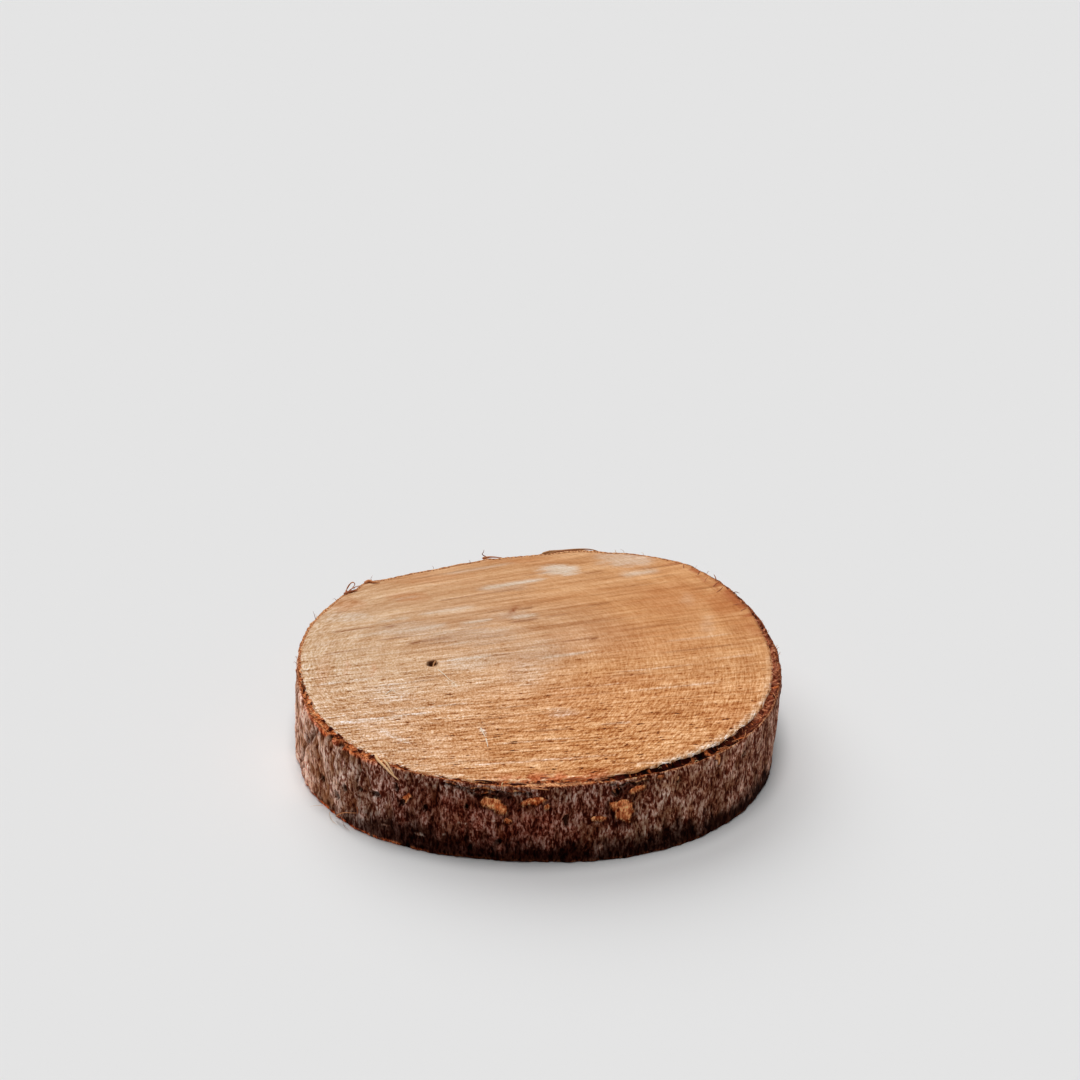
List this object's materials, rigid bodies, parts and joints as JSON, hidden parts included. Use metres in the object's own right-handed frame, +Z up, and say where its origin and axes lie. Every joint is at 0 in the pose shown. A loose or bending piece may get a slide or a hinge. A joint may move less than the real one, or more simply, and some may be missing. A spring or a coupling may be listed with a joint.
{
  "type": "wood slice",
  "caption": "Natural slice sawn across a tree trunk, bark still on, with an off-centre pith and flat sawn faces, to lie on a table as a base, coaster or stand.",
  "frame": {"origin": "middle of the object's box, on the sawn base that it lies on", "axes": "+Z up, across the slice's thickness, out of the upper sawn face; +X along the longest way across, away from the pith's side; +Y towards the flattened side of the outline"},
  "size_m": [0.1518, 0.1438, 0.0284],
  "materials": {
    "sawn_wood": "raw rough-sawn end grain, dry and unvarnished, pale at the left and orange-tan at the right and back",
    "inner_bark": "dry fibrous inner bark, orange to dark red-brown",
    "outer_bark": "dry furrowed bark, grey-mauve at the left and dark red-brown at the front"
  },
  "bodies": {
    "root": {"wood_slice": "sawn_wood"}
  },
  "joints": []
}
